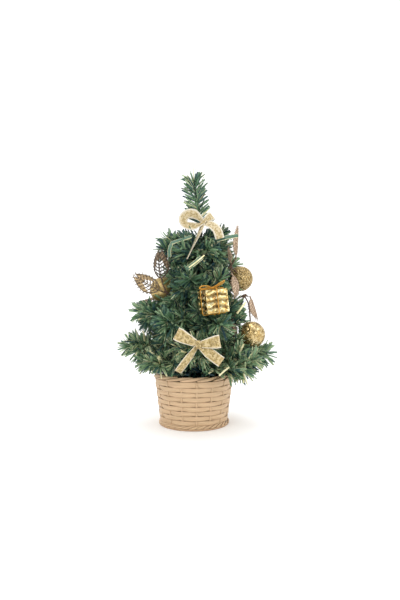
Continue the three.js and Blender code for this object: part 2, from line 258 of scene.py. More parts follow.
def wood_finish():
    """Split bamboo: fine streaks along each strip, pinkish brown along its cut edges."""
    f = Finish("split_bamboo", 0.55)
    grain = f.mark("grain", "Vector")
    streaks = f.noise(1.0, 4, f.scaled(grain, (0.05, 2.6, 1)))
    patches = f.noise(1.0, 2, f.scaled(grain, (0.06, 0.25, 1)))
    light = f.ramp(streaks, (0.32, (0.42, 0.285, 0.158)), (0.62, (0.63, 0.450, 0.268)))
    tinted = f.blend(f.ramp(patches, (0.35, 0.0), (0.7, 0.5)), light, (0.54, 0.345, 0.200))
    edge = f.ramp(f.mark("edge"), (0.80, 0), (0.98, 0.6))
    f.set("Base Color", f.blend(edge, tinted, (0.33, 0.18, 0.10)))
    f.set("Roughness", f.ramp(streaks, (0.3, 0.62), (0.7, 0.42)))
    f.bump(streaks, 0.12, 0.7)
    return f.material


def moss_finish():
    f = Finish("dark_moss_with_painted_shade", 0.9)
    # Dark green moss, made near-black as painted shade for the inside of the basket.
    f.set("Base Color", f.ramp(f.noise(0.6), (0.3, (0.004, 0.012, 0.010)), (0.75, (0.02, 0.05, 0.028))))
    f.bump(f.noise(1.4, 6), 0.8)
    return f.material


def glitter_finish(name, dark, middle, light, size, roughness, tilt):
    f = Finish(name, roughness, 0.85)
    grey = f.blend(1.0, f.cells(1 / size), (0.6, 0.4, 0.0), "MULTIPLY")
    bright = f.ramp(grey, (0.02, dark), (0.2, middle), (0.42, light))
    f.set("Base Color", f.blend(f.ramp(f.noise(0.12), (0.35, 0.0), (0.65, 0.35)), bright, middle))
    f.sparkle(1 / size, tilt)
    return f.material


def leaf_finish(name, dark, light, pale):
    """Bronze leaf dusted with glitter, with darker ribs."""
    f = Finish(name, 0.42, 0.55)
    film = f.ramp(f.noise(0.45), (0.36, dark), (0.54, light))
    ribbed = f.blend(f.ramp(f.mark("edge"), (0.0, 0.0), (1.0, 0.85)), film, dark)
    dust = f.ramp(f.cells(1.3, "Distance"), (0.05, 1.0), (0.45, 0.0))
    f.set("Base Color", f.blend(dust, ribbed, pale))
    f.set("Roughness", f.ramp(f.noise(1.4), (0.3, 0.3), (0.7, 0.6)))
    f.sparkle(1.3, 0.4)
    return f.material


def foil_finish():
    """Bright foil, with painted shade in its creases."""
    f = Finish("gold_foil", 0.16, 1.0)
    gold = f.ramp(
        f.noise(0.25),
        (0.38, (0.38, 0.22, 0.08)),
        (0.50, (0.63, 0.48, 0.18)),
        (0.64, (0.93, 0.85, 0.53)),
    )
    # Painted shade: the crease mark darkens the foil towards dark brown where a fold is deep.
    f.set("Base Color", f.blend(f.ramp(f.mark("edge"), (0.2, 0), (1.0, 1)), gold, (0.09, 0.055, 0.02)))
    f.set("Roughness", f.ramp(f.noise(0.5), (0.3, 0.12), (0.7, 0.28)))
    f.bump(f.noise(0.3), 0.6, 0.6)
    return f.material


def ribbon_finish(name, base, speck, deep, satin_colour, edge_start, cover):
    """Ribbon with glitter down its middle and a satin thread along each side."""
    f = Finish(name, 0.5, 0.1, Sheen_Weight=0.3)
    grain = f.mark("grain", "Vector")
    blotch = f.ramp(f.noise(0.42, 4, grain), (0.42, base), (0.49, speck), (0.58, deep))
    dust = f.cells(1.3, "Distance", grain)
    dotted = f.blend(f.ramp(dust, (0.35, cover), (0.8, 0.3)), base, blotch)
    weave = f.noise(1.0, 1, f.scaled(grain, (0.4, 5.0, 1)))
    satin = f.blend(f.ramp(weave, (0.4, 0.0), (0.6, 0.35)), satin_colour, base)
    side = f.ramp(f.mark("edge"), (edge_start, 0), (edge_start + 0.05, 1))
    f.set("Base Color", f.blend(side, dotted, satin))
    f.set("Metallic", f.blend(side, f.ramp(dust, (0.05, 0.55), (0.5, 0.05)), (0, 0, 0)))
    f.set("Roughness", f.ramp(dust, (0.1, 0.3), (0.6, 0.6)))
    f.bump(weave, 0.08)
    f.bump(dust, 0.15)
    return f.material


# ---------------------------------------------------------------- mesh building
WAVES = 6  # how many sine waves make up a ripple


def unit(vectors):
    return vectors / np.linalg.norm(vectors, axis=-1, keepdims=True)


def box_of(node):
    """The low and high corners of a CAD node's box."""
    return [np.array(corner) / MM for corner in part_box(node)]


def ripple(points, size):
    """Smooth pseudo-random relief from -1 to 1 whose bumps are about as wide as size."""
    directions = unit(rng.normal(size=(WAVES, points.shape[-1]))) * rng.uniform(0.6, 1.4, (WAVES, 1))
    phases = rng.uniform(0, TURN, WAVES)
    return np.sin(points @ directions.T * (TURN / (2 * size)) + phases).mean(-1) * 1.6


def smooth(points, count):
    """A Catmull-Rom curve through the points, at count even steps of its parameter."""
    points = np.asarray(points, float)
    padded = np.concatenate([2 * points[:1] - points[1:2], points, 2 * points[-1:] - points[-2:-1]])
    place = np.linspace(0, len(points) - 1, count)
    index = np.minimum(place.astype(int), len(points) - 2)
    t = (place - index)[:, None]
    a, b, c, d = (padded[index + k] for k in range(4))
    return b + 0.5 * t * (c - a + t * (2 * a - 5 * b + 4 * c - d + t * (3 * (b - c) + d - a)))


def run_of(path):
    """How far along its path each point lies."""
    return np.concatenate([[0], np.cumsum(np.linalg.norm(np.diff(path, axis=0), axis=1))])


def circle(radius, height, angle):
    return np.stack(np.broadcast_arrays(radius * np.cos(angle), radius * np.sin(angle), height), -1)


def sweep(path, section, facing, loop=False):
    """Rings of a section along paths, its second axis as near to facing as it can be."""
    path = np.asarray(path, float)
    if loop:
        tangent = np.roll(path, -1, -2) - np.roll(path, 1, -2)
    else:
        tangent = np.gradient(path, axis=-2)
    tangent = unit(tangent)
    side = unit(np.cross(tangent, np.broadcast_to(facing, path.shape)))
    out = np.cross(side, tangent)
    return path[..., None, :] + section[..., :1] * side[..., None, :] + section[..., 1:] * out[..., None, :]


def round_section(radius, sides):
    angle = np.arange(sides) * TURN / sides
    return np.stack([np.cos(angle), np.sin(angle)], -1) * radius


def flat_section(width, thickness, columns=5, crown=0.0):
    """A strip's section, whose width may vary along it, and how near each point is to the strip's edge."""
    across = np.linspace(-1, 1, columns)
    across = np.concatenate([across, across[::-1]])
    skin = np.where(np.arange(2 * columns) < columns, -0.5, 0.5) * np.where(abs(across) > 0.99, 0.5, 1)
    width = np.asarray(width, float)[..., None]
    rise = skin * thickness + crown * (1 - across**2)
    section = np.stack(np.broadcast_arrays(across * width / 2, rise), -1)
    return section, np.broadcast_to(abs(across), section.shape[:-1])


def strip_grain(path, section, number):
    """Where each point lies along and across its strip, and which strip that is."""
    return np.stack(np.broadcast_arrays(run_of(path)[:, None], section[..., 0], 17.3 * number), -1)


def taken_from(work):
    """The points and faces of a bmesh, which is then freed."""
    points = np.array([tuple(v.co) for v in work.verts])
    faces = [[v.index for v in face.verts] for face in work.faces]
    work.free()
    return points, faces


class Shape:
    """Closed skins gathered into one mesh, with what the finishes read at each point."""

    def __init__(self):
        self.points, self.marks, self.grain, self.faces = [], [], [], []
        self.slots, self.smooth = [], []
        self.size = 0

    def skin(self, points, faces, shade=0.5, edge=0.0, grain=None, slot=0, soft=True):
        flat = np.reshape(points, (-1, 3))
        outline = np.shape(points)[:-1]
        self.points.append(flat)
        marks = [np.broadcast_to(value, outline).reshape(-1) for value in (shade, edge)]
        self.marks.append(np.stack(marks, -1))
        grain = flat if grain is None else np.broadcast_to(grain, np.shape(points))
        self.grain.append(grain.reshape(-1, 3))
        self.faces += [[corner + self.size for corner in face] for face in faces]
        self.slots += [slot] * len(faces)
        self.smooth += [soft] * len(faces)
        self.size += len(flat)

    def tubes(self, rings, loop=False, **marks):
        """Adds tubes from (rings, sides, 3) or (tubes, rings, sides, 3), with flat ends unless looped."""
        rings = rings if rings.ndim == 4 else rings[None]
        tubes, length, sides = rings.shape[:3]
        ring, side = np.divmod(np.arange((length if loop else length - 1) * sides), sides)
        after, beside = (ring + 1) % length, (side + 1) % sides
        quads = np.stack([ring * sides + side, ring * sides + beside], -1)
        quads = np.concatenate([quads, np.stack([after * sides + beside, after * sides + side], -1)], -1)
        starts = np.arange(tubes)[:, None, None] * length * sides
        faces = (quads[None] + starts).reshape(-1, 4).tolist()
        if not loop:
            for start in starts[:, 0, 0].tolist():
                last = start + (length - 1) * sides
                faces.append(list(range(start + sides - 1, start - 1, -1)))
                faces.append(list(range(last, last + sides)))
        self.skin(rings, faces, **marks)

    def strip(self, path, facing, width, thickness, number, columns=5, crown=0.0, loop=False):
        """Adds a flat strip with its own grain."""
        section, edge = flat_section(width, thickness, columns, crown)
        grain = strip_grain(path, section, number)
        self.tubes(sweep(path, section, facing, loop), loop, edge=edge, grain=grain)

    def strand(self, path, radius, facing, sides=6, **marks):
        """Adds a round strand, whose radius may vary along it."""
        section = round_section(1, sides)[None] * np.broadcast_to(radius, len(path))[:, None, None]
        self.tubes(sweep(path, section, facing), **marks)

    def twisted(self, path, strand, pitch, **marks):
        """Adds two round strands twisted about a path."""
        path = np.asarray(path, float)
        run = run_of(path)
        even = np.linspace(0, run[-1], max(4, int(run[-1] / (pitch / 7))))
        path = np.stack([np.interp(even, run, path[:, k]) for k in range(3)], -1)
        facing = np.linalg.svd(path - path.mean(0))[2][2]
        for half in (0, math.pi):
            angle = even * TURN / pitch + half
            turn = np.stack([np.cos(angle), np.sin(angle)], -1)[:, None] * strand * 0.95
            centres = sweep(path, turn, facing)[:, 0]
            self.tubes(sweep(centres, round_section(strand, 6), facing), **marks)

    def make(self, name, finishes, slot, nodes, body=None):
        """Makes the piece, which stands for CAD nodes and rides on their body."""
        mesh = bpy.data.meshes.new(name)
        mesh.from_pydata((np.concatenate(self.points) * MM).tolist(), [], self.faces)
        for finish in finishes:
            mesh.materials.append(finish)
        mesh.polygons.foreach_set("material_index", self.slots)
        mesh.polygons.foreach_set("use_smooth", self.smooth)
        marks = np.concatenate(self.marks).astype(np.float32)
        for column, key in enumerate(("shade", "edge")):
            mesh.attributes.new(key, "FLOAT", "POINT").data.foreach_set("value", marks[:, column].copy())
        grain = np.concatenate(self.grain).astype(np.float32).ravel()
        mesh.attributes.new("grain", "FLOAT_VECTOR", "POINT").data.foreach_set("vector", grain)
        work = bmesh.new()
        work.from_mesh(mesh)
        bmesh.ops.recalc_face_normals(work, faces=work.faces)
        work.to_mesh(mesh)
        work.free()
        piece = add_object(name, mesh)
        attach(piece, body or BODY_OF[nodes[0]])
        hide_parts(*nodes)
        return piece


BODY_OF = {
    node: body for body, members in frame["record"]["behaviour"]["bodies"].items() for node in members
}


# ---------------------------------------------------------------- basket
WALL_FOOT_RADIUS = 38.9
WALL_FOOT_HEIGHT = 4.6
WALL_SLOPE = 0.135
WEAVERS = 9
STAKES = 16
FIRST_STAKE = math.radians(4.7 - 90)
WEAVE_SWING = 0.55
STRIP = 0.55  # thickness
RING = np.arange(192) * TURN / 192  # the angles of a woven ring's points
FLOOR_RINGS = 7


def wall_radius(height):
    return WALL_FOOT_RADIUS + WALL_SLOPE * (height - WALL_FOOT_HEIGHT)


def build_weaver(row, wood):
    """One flat strip that passes outside every second stake and inside the others."""
    node = f"basket_weaver_{row + 1}"
    low, high = (corner[2] for corner in box_of(node))
    swing = np.cos(STAKES / 2 * (RING - FIRST_STAKE) + (row + 1) * math.pi)
    round_the_ring = circle(40, 0, RING)[:, :2]
    height = (low + high) / 2 + ripple(round_the_ring, 14) * 0.2
    path = circle(wall_radius(height) + WEAVE_SWING * swing, height, RING)
    width = (high - low) * (1.08 + 0.05 * ripple(round_the_ring, 16))
    shape = Shape()
    shape.strip(path, circle(1, -WALL_SLOPE, RING), width, STRIP, row, 7, 0.12, loop=True)
    shape.make(node + "_strip", [wood], "chip_wood", [node])


def build_stakes(wood):
    """Upright strips, each with its foot bent in under the floor's edge."""
    low, high = (corner[2] for corner in box_of("basket_stakes"))
    height = np.concatenate([[low + 0.4] * 3, np.linspace(low + 1.6, high, 24)])
    radius = wall_radius(height)
    radius[:3] = (30, 34, WALL_FOOT_RADIUS - 1)
    shape = Shape()
    for k in range(STAKES):
        angle = FIRST_STAKE + k * TURN / STAKES
        facing = np.tile(circle(1, -WALL_SLOPE, angle), (len(height), 1))
        facing[:3] = -UP
        shape.strip(circle(radius, height, angle), facing, 2.3, STRIP, 20 + k, crown=0.1)
    shape.make("basket_stake_strips", [wood], "chip_wood", ["basket_stakes"])


def border(node, count, reach, swing, rise, width, lift):
    """Strips bent over one another round the rim or the foot, each from outside the ring to inside it."""
    low, high = box_of(node)
    ring_radius = high[0] - swing - 0.8
    middle = (low[2] + high[2]) / 2 + lift
    shape = Shape()
    t = np.linspace(0, 1, 22)
    for k in range(count):
        angle = FIRST_STAKE + (k + reach * t) * TURN / count
        height = middle + rise * (t - 0.5) + rng.uniform(-0.12, 0.12)
        path = circle(ring_radius + swing * np.cos(math.pi * t), height, angle)
        taper = width * (0.28 + 0.72 * np.sin(math.pi * t) ** 0.8) * rng.uniform(0.94, 1.05)
        shape.strip(path, circle(1, 0.12, angle), taper, 0.7, 40 + k, 7, 0.5)
    return shape


def build_floor(wood):
    """Flat rings woven over and under eight spokes."""
    low, high = box_of("basket_floor")
    middle = (low[2] + high[2]) / 2
    reach = high[0]
    pitch = (reach - 2) / FLOOR_RINGS
    shape = Shape()
    for row in range(FLOOR_RINGS):
        height = middle + 0.75 * np.cos(STAKES / 2 * RING + row * math.pi)
        path = circle(2 + (row + 0.5) * pitch, height, RING)
        shape.strip(path, -UP, pitch - 0.3, STRIP, 70 + row, crown=0.15, loop=True)
    ends = np.linspace(-reach + 0.4, reach - 0.4, 30)[:, None]
    for k in range(STAKES // 2):
        path = ends * circle(1, 0, k * TURN / STAKES) + UP * (middle + 0.04 * k)
        shape.strip(path, -UP, 2.6, 0.6, 80 + k)
    shape.make("basket_floor_weave", [wood], "chip_wood", ["basket_floor"])


def build_basket():
    wood = wood_finish()
    for row in range(WEAVERS):
        build_weaver(row, wood)
    build_stakes(wood)
    build_floor(wood)
    rim = border("rim_braid", STAKES, 1.75, 1.5, 3.6, 3.6, 0.0)
    rim.make("rim_border", [wood], "chip_wood", ["rim_braid"])
    foot = border("foot_braid", 2 * STAKES, 1.9, 1.2, 2.6, 2.8, 1.8)
    hoop = circle(box_of("foot_braid")[1][0] - 1.4, 1.0, RING)
    foot.strip(hoop, UP, 2.4, 1.8, 90, loop=True)
    foot.make("foot_border", [wood], "chip_wood", ["foot_braid"])


# ---------------------------------------------------------------- needles, moss and trunk
GOLDEN = {"lower": 0.4, "middle": 0.16, "upper": 0.18, "crown": 0.22, "top": 0.32}
SHADE = {"lower": 0.58, "middle": 0.55, "upper": 0.55, "crown": 0.52, "top": 0.48}
DENSITY = 2.5  # needles per millimetre of wire
NEEDLE = 17.5
TWIG_NEEDLE = 16.5
STUB_NEEDLE = 16
TUFT = 20  # needles in the blunt end of a brush
HELIX_PITCH = 8.5
LONG_BRANCH = 60  # a shorter branch has side twigs on its inner part only
SIDE_TWIGS = ((0.22, 1), (0.34, -1), (0.52, 1), (0.62, -1))  # share along the branch, and which side

# Twigs that fill particular places: share along the branch, azimuth, elevation, length
EXTRA_TWIGS = {
    "lower_branch_left": ((0.55, -150, 30, 34), (0.45, -120, -18, 38)),
    "lower_branch_front": ((0.35, -60, 34, 34), (0.6, -88, 28, 34), (0.6, -68, -6, 34), (0.6, -112, 2, 34)),
    "lower_branch_front_right": (
        (0.6, -85, -8, 32), (0.55, -35, 36, 34), (0.75, -20, 30, 30), (0.35, -30, 52, 42)
    ),
    "lower_branch_right": ((0.45, -40, 32, 34), (0.6, -75, -14, 34)),
    "middle_branch_left": ((0.4, -150, 30, 40), (0.2, -158, 46, 44)),
    "middle_branch_front_right": (
        (0.45, -69, 52, 32), (0.3, -100, 42, 36), (0.3, -45, 45, 38), (0.75, -60, -8, 30)
    ),
    "middle_branch_right": (
        (0.25, -40, 28, 46), (0.45, -22, 44, 36), (0.35, 20, 30, 38),
        (0.5, -30, -18, 38), (0.3, -30, 62, 38)
    ),
    "upper_branch_left": ((0.25, -165, -28, 44), (0.1, -140, -30, 42)),
    "upper_branch_front": ((0.3, -70, -12, 34),),
    "upper_branch_front_right": ((0.3, -40, -6, 36),),
    "upper_branch_right": ((0.3, -25, 8, 36), (0.2, -25, -18, 38)),
    "crown_branch_left": ((0.35, -150, 4, 34),),
    "crown_branch_front": ((0.2, -100, 10, 30),),
}

# Strips of film left uncut: branch, points, facing, width, and 1 where the strip is gold all over
WIDE_STRIPS = (
    ("crown_branch_left", ((-3, -28, 215), (-14, -30, 211), (-25, -31, 207)), (0.1, -1, 0.9), 5, 0),
    ("crown_branch_left", ((-24, -31, 208), (-27, -32, 200), (-27, -32, 191)), (-0.3, -1, 0.1), 4, 0),
    ("crown_branch_front_left", ((9, -40, 190), (1, -42, 183), (-8, -43, 176)), (0.3, -1, 0.8), 5.5, 0),
    ("crown_branch_front_left", ((12, -41, 192), (4, -43, 185), (-5, -44, 178)), (0.2, -1, 0.4), 1.6, 1),
    ("crown_branch_right", ((26, -26, 211), (38, -28, 214), (50, -28, 216)), (0, -1, 0.4), 5, 0),
    ("middle_branch_right", ((48, -36, 128), (53, -36, 134.5), (58, -35, 141)), (0, -1, 0.2), 2, 1),
    ("lower_branch_front_right", ((27, -64, 64), (32, -66, 69), (37, -66, 73)), (0, -1, 0.2), 1.7, 1),
)

# Rings of short twigs on the trunk, after the shade of each piece: height, how many,
# azimuth, elevation, length and droop
STUBS = {
    # The foot twigs' tone of 0.16 is painted shade for the dark gap between the needles and the rim.
    "foot": (0.16, ((64, 9, -110, -4, 50, 3), (70, 8, -92, 14, 44, 2))),
    "inner": (
        0.34,
        (
            (92, 8, -70, 6, 46, 3),
            (100, 7, -100, 26, 38, 2),
            (128, 7, -84, 8, 42, 3),
            (136, 6, -60, 30, 34, 2),
        ),
    ),
    "upper": (
        0.34,
        (
            (168, 7, -72, 14, 36, 2),
            (176, 5, -110, 38, 28, 1),
            (190, 7, -100, 20, 38, 1),
            (204, 7, -76, 24, 34, 1),
            (208, 5, -125, 14, 30, 1),
            (216, 6, -112, 6, 26, 2),
        ),
    ),
}

# What the needles keep out of
HIDDEN_LEAVES = ("left_pick_lower_leaf", "low_pick_inner_leaf")
COVERED_RIM = {"right_pick_ball": 2.5, "low_pick_ball": 7, "gift_box": 3}  # what needles may cover
IN_FRONT = 60  # how far forward the view of an ornament is kept clear
BALL_GAP = 0.8
RIBBON_GAP = 5.2  # seen from the front
BEHIND_RIBBON = 2
WALL = (41, 50, 60)  # inner radius, outer radius and top of the basket's wall, with room to spare
BASKET_ZONES = (  # the front of the basket, and its left side
    (np.array([-60.0, -120, 0]), np.array([38.0, -24, 59])),
    (np.array([-60.0, -120, 0]), np.array([-36.0, 30, 62])),
)


def clear_zones():
    """Boxes that the needles keep out of: each ornament's, carried forward, and two on the basket."""
    shown = ["gift_box", "right_pick_ball", "low_pick_ball"]
    shown += [node for node in frame["nodes"] if node.endswith("_leaf") and node not in HIDDEN_LEAVES]
    zones = []
    for node in shown:
        low, high = box_of(node)
        rim = COVERED_RIM.get(node, 0.5)
        zones.append((low + (rim, -IN_FRONT, rim), high - (rim, 0, rim)))
    return zones + list(BASKET_ZONES)


def cad_points(node):
    points = np.array([tuple(corner.co) for corner in frame["nodes"][node].data.vertices]) / MM
    return np.unique(points.round(3), axis=0)


CLEAR = clear_zones()
BOWS = [cad_points(f"{bow}_bow_{part}") for part in ("ribbon", "knot") for bow in ("lower", "top")]
BALLS = [box_of(node) for node in frame["nodes"] if node.endswith("_ball")] + [box_of("gift_box")]


def in_the_way(path):
    """Which needles would cover an ornament or a ribbon, or cut into the basket's wall."""
    hit = np.zeros(len(path), bool)
    for low, high in CLEAR:
        hit |= ((path[:, 1:] > low) & (path[:, 1:] < high)).all(-1).any(-1)
    for low, high in BALLS:
        hit |= (np.linalg.norm(path - (low + high) / 2, axis=-1) <= (high - low)[1] / 2 + BALL_GAP).any(-1)
    inner, outer, top = WALL
    radius = np.hypot(path[..., 0], path[..., 1])
    hit |= ((path[..., 2] < top) & (radius > inner) & (radius < outer)).any(-1)
    tip = path[:, 3]
    for bow in BOWS:
        near = (tip > bow.min(0) - NEEDLE - 2.5).all(-1) & (tip < bow.max(0) + NEEDLE + 2.5).all(-1) & ~hit
        away = path[near][:, 1:, None] - bow
        sideways = np.hypot(away[..., 0], away[..., 2])
        hit[near] = ((sideways < RIBBON_GAP) & (away[..., 1] < BEHIND_RIBBON)).any((1, 2))
    return hit


def lay_needles(shape, root, direction, facing, length, width, gold_share=0.5, shade=0.5, slot=0):
    """Strips of film folded a little along their middle, each from its root, except those in the way."""
    count = len(root)
    t = np.array([0, 0.34, 0.68, 1.0])[:, None]
    length = np.broadcast_to(length, count)[:, None, None]
    sag = rng.normal(0, 0.09, (count, 1, 1)) * facing[:, None] - 0.05 * UP
    path = root[:, None] + length * (t * direction[:, None] + t**2 * sag)
    keep = ~in_the_way(path)
    taper = np.array([0.8, 1.0, 1.0, 0.7])[None, :, None]
    half = np.broadcast_to(width, count)[:, None, None] / 2 * taper
    across = np.array([-1.0, 0.0, 1.0, 0.0])
    fold = np.array([0.0, 0.30, 0.0, -0.02])
    thickness = np.array([0, 0.1, 0, -0.06])
    section = np.stack([across * half, fold * half + thickness], -1)
    rings = sweep(path, section, facing[:, None])
    cut = np.where(rng.random(count) < gold_share, rng.uniform(0.92, 1.2, count), 0.3)
    back = np.where(rng.random(count) < 0.4 * gold_share, 1.0, 0.0)
    front = np.where(rng.random(count) < 0.12 * gold_share, 1.0, 0.0)
    edge = np.stack([cut, front, cut, np.maximum(back, front)], -1)[:, None]
    tone = np.clip(rng.normal(shade, 0.30, count), 0, 1)[:, None, None]
    marks = {"shade": tone, "edge": edge}
    marks = {key: np.broadcast_to(mark, rings.shape[:3])[keep] for key, mark in marks.items()}
    shape.tubes(rings[keep], soft=False, slot=slot, **marks)


def brush_needles(shape, spine, first, length, gold_share, shade, needle=NEEDLE):
    """Needles in a helix round a twisted wire, leaning forward, closing to a blunt tip."""
    last = max(first + 4, length - 0.78 * needle)
    count = int(DENSITY * (last - first)) + TUFT
    s = np.linspace(first, last, count - TUFT)
    s = np.concatenate([s, np.full(TUFT, last) + rng.uniform(-1, 3, TUFT)])
    along = unit(spine(s + 0.5) - spine(s - 0.5))
    side = unit(np.cross(along, UP + (0.01, 0.02, 0)))
    over = np.cross(side, along)
    turn = s * TURN / HELIX_PITCH + np.arange(count) % 2 * math.pi + rng.normal(0, 0.45, count)
    away = np.cos(turn)[:, None] * side + np.sin(turn)[:, None] * over
    nearness = np.clip((s - last + 12) / 12, 0, 1)
    lean = np.radians(rng.normal(54, 7, count) - 4 * nearness)
    lean[-TUFT:] = np.radians(rng.uniform(3, 72, TUFT))
    direction = unit(np.cos(lean)[:, None] * along + np.sin(lean)[:, None] * away)
    around = unit(np.cross(along, away)) * rng.choice([-1, 1], count)[:, None]
    tilt = rng.normal(0, 0.5, count)[:, None]
    facing = unit(around * np.cos(tilt) + np.cross(direction, around) * np.sin(tilt))
    long = rng.uniform(0.85, 1.1, count) * needle * (1 - 0.06 * nearness)
    width = rng.uniform(1.9, 2.8, count)
    lay_needles(shape, spine(s) + 0.7 * away, direction, facing, long, width, gold_share, shade)


def add_twig(shape, origin, direction, length, droop, gold_share, shade, needle=TWIG_NEEDLE):
    """A small brush on a straight wire that hangs by droop at its tip."""
    direction = unit(direction)

    def line(s):
        return origin + np.multiply.outer(s, direction) - np.multiply.outer((s / length) ** 2, droop * UP)

    brush_needles(shape, line, 5.0, length, gold_share, shade, needle)
    shape.twisted(line(np.linspace(0, length - 8, 12)), 0.42, 3.6, slot=1)


def pointing(azimuth, elevation):
    """The direction at two angles in radians."""
    return circle(math.cos(elevation), math.sin(elevation), azimuth)


def spine_of(node, root):
    """A branch's centre line by the distance along it, from the rings of its CAD brush, and its two ends."""
    points = cad_points(node)
    along = unit(points.mean(0) - root)
    distance = (points - root) @ along
    points, distance = points[np.argsort(distance)], np.sort(distance)
    rings = np.split(points, np.flatnonzero(np.diff(distance) > 2.5) + 1)
    centres = np.array([ring.mean(0) for ring in rings])
    where = (centres - root) @ along
    curves = [np.polynomial.Polynomial.fit(where, centres[:, k], 2) for k in range(3)]
    return (lambda s: np.stack([curve(s) for curve in curves], -1)), distance[0], distance[-1]


def add_side_twigs(shape, spine, length, *look):
    for share, way in SIDE_TWIGS:
        if share > 0.4 and length < LONG_BRANCH:
            continue
        origin = spine(np.array(share * length))
        along = unit(spine(np.array(share * length + 1)) - origin)
        level = unit(np.cross(along, UP))
        roll = math.radians(rng.uniform(-50, 35))
        spread = math.radians(rng.uniform(36, 50))
        out = way * level * math.cos(roll) + UP * math.sin(roll)
        direction = along * math.cos(spread) + out * math.sin(spread)
        reach = (0.98 - share) * length * rng.uniform(0.62, 0.8) + 4
        add_twig(shape, origin, direction, reach, 2.0, *look)


def build_branches(needle_film, core_wire):
    """Each branch is a brush with side twigs, all on its own body."""
    for joint in frame["joints"]:
        body = joint["child"]
        spine, start, length = spine_of(body, np.array(joint["pos_m"]) / MM)
        tier = body.split("_")[0]
        look = GOLDEN[tier], SHADE[tier]
        shape = Shape()
        brush_needles(shape, spine, 0.07 * length, length, *look)
        shape.twisted(spine(np.linspace(start + 0.3, length - 9, 30)), 0.55, 4.5, slot=1)
        if tier != "top":
            add_side_twigs(shape, spine, length, *look)
        for share, azimuth, elevation, reach in EXTRA_TWIGS.get(body, ()):
            direction = pointing(math.radians(azimuth), math.radians(elevation))
            add_twig(shape, spine(np.array(share * length)), direction, reach, 2.0, *look)
        for owner, points, facing, width, gilt in WIDE_STRIPS:
            if owner == body:
                section, edge = flat_section(width, 0.25, 7, width / 8)
                rings = sweep(smooth(points, 14), section, facing)
                shape.tubes(rings, edge=np.maximum(edge * 0.98, gilt), shade=0.4, soft=False)
        shape.make(body + "_needles", [needle_film, core_wire], "needles", [body])


def trunk_lean(height):
    return 8 * (np.maximum(0, height - 50) / 178) ** 1.5


def build_stubs(needle_film, core_wire):
    """Short twigs on the trunk that close the gaps between the tiers."""
    for name, (shade, rings) in STUBS.items():
        shape = Shape()
        for height, count, first, elevation, length, droop in rings:
            for k in range(count):
                azimuth = math.radians(first + 360 * k / count + rng.uniform(-8, 8))
                out = pointing(azimuth, math.radians(elevation + rng.uniform(-8, 8)))
                z = height + rng.uniform(-4, 4)
                origin = np.array([trunk_lean(z), 0, z]) + out * 2.4
                reach = length * rng.uniform(0.9, 1.08)
                add_twig(shape, origin, out, reach, droop, GOLDEN["middle"], shade, STUB_NEEDLE)
        shape.make(f"{name}_stub_needles", [needle_film, core_wire], "needles", [], "stand")


def build_moss(needle_film):
    """The weight in the basket, dark moss over its top, darkened further as painted shade, and loose needles on
    the moss.
    """
    low, high = box_of("base_plug")
    reach, bottom, top = high[0] - 0.3, low[2] + 0.3, high[2]
    angle = np.arange(96) * TURN / 96
    rings = [circle(3.2, bottom, angle)]
    for radius in np.concatenate([[3.2], np.linspace(5, reach, 16)]):
        ground = circle(radius, top, angle)
        bump = ripple(ground, 9) * 0.8 + 2.2 * (1 - (radius / reach) ** 2) - 0.8
        rings.append(ground + bump[:, None] * UP)
    rings.append(circle(wall_radius(bottom) - 2.6, bottom, angle))
    shape = Shape()
    shape.tubes(np.stack(rings), loop=True)
    count = 900
    spread = reach * np.sqrt(rng.uniform(0.02, 0.96, count))
    turn = rng.uniform(0, TURN, count)
    root = circle(spread, top - 0.8, turn)
    lie = turn + rng.uniform(0, 3, count)
    direction = unit(circle(rng.uniform(-1, 1, count), rng.uniform(0.15, 0.6, count), lie))
    facing = unit(UP + rng.normal(0, 0.4, (count, 3)))
    lay_needles(shape, root, direction, facing, rng.uniform(5, 9, count), 1.3, 0.06, 0.08, slot=1)
    shape.make("base_moss", [moss_finish(), needle_film], "plug", ["base_plug"])


def build_trunk():
    """A stem bound in floral tape, each turn of the tape lapping the one below."""
    low, high = box_of("trunk")
    height = np.arange(low[2], high[2], 0.9)
    path = np.stack([trunk_lean(height), np.zeros_like(height), height], -1)
    sides = 20
    phase = height[:, None] / 6.5 + np.arange(sides) / sides
    radius = 2.25 + 0.35 * (1 - phase % 1.0) + 0.05 * np.sin(9 * phase)
    section = round_section(1, sides)[None] * radius[..., None]
    shape = Shape()
    shape.tubes(sweep(path, section, FRONT), shade=rng.random())
    dark, light = (0.020, 0.030, 0.014), (0.060, 0.058, 0.030)
    tape = mottled("floral_tape", 0.7, dark, light, 0.5, 2.2, 0.2, detail=5)
    shape.make("trunk_tape", [tape.material], "trunk_wrap", ["trunk"])


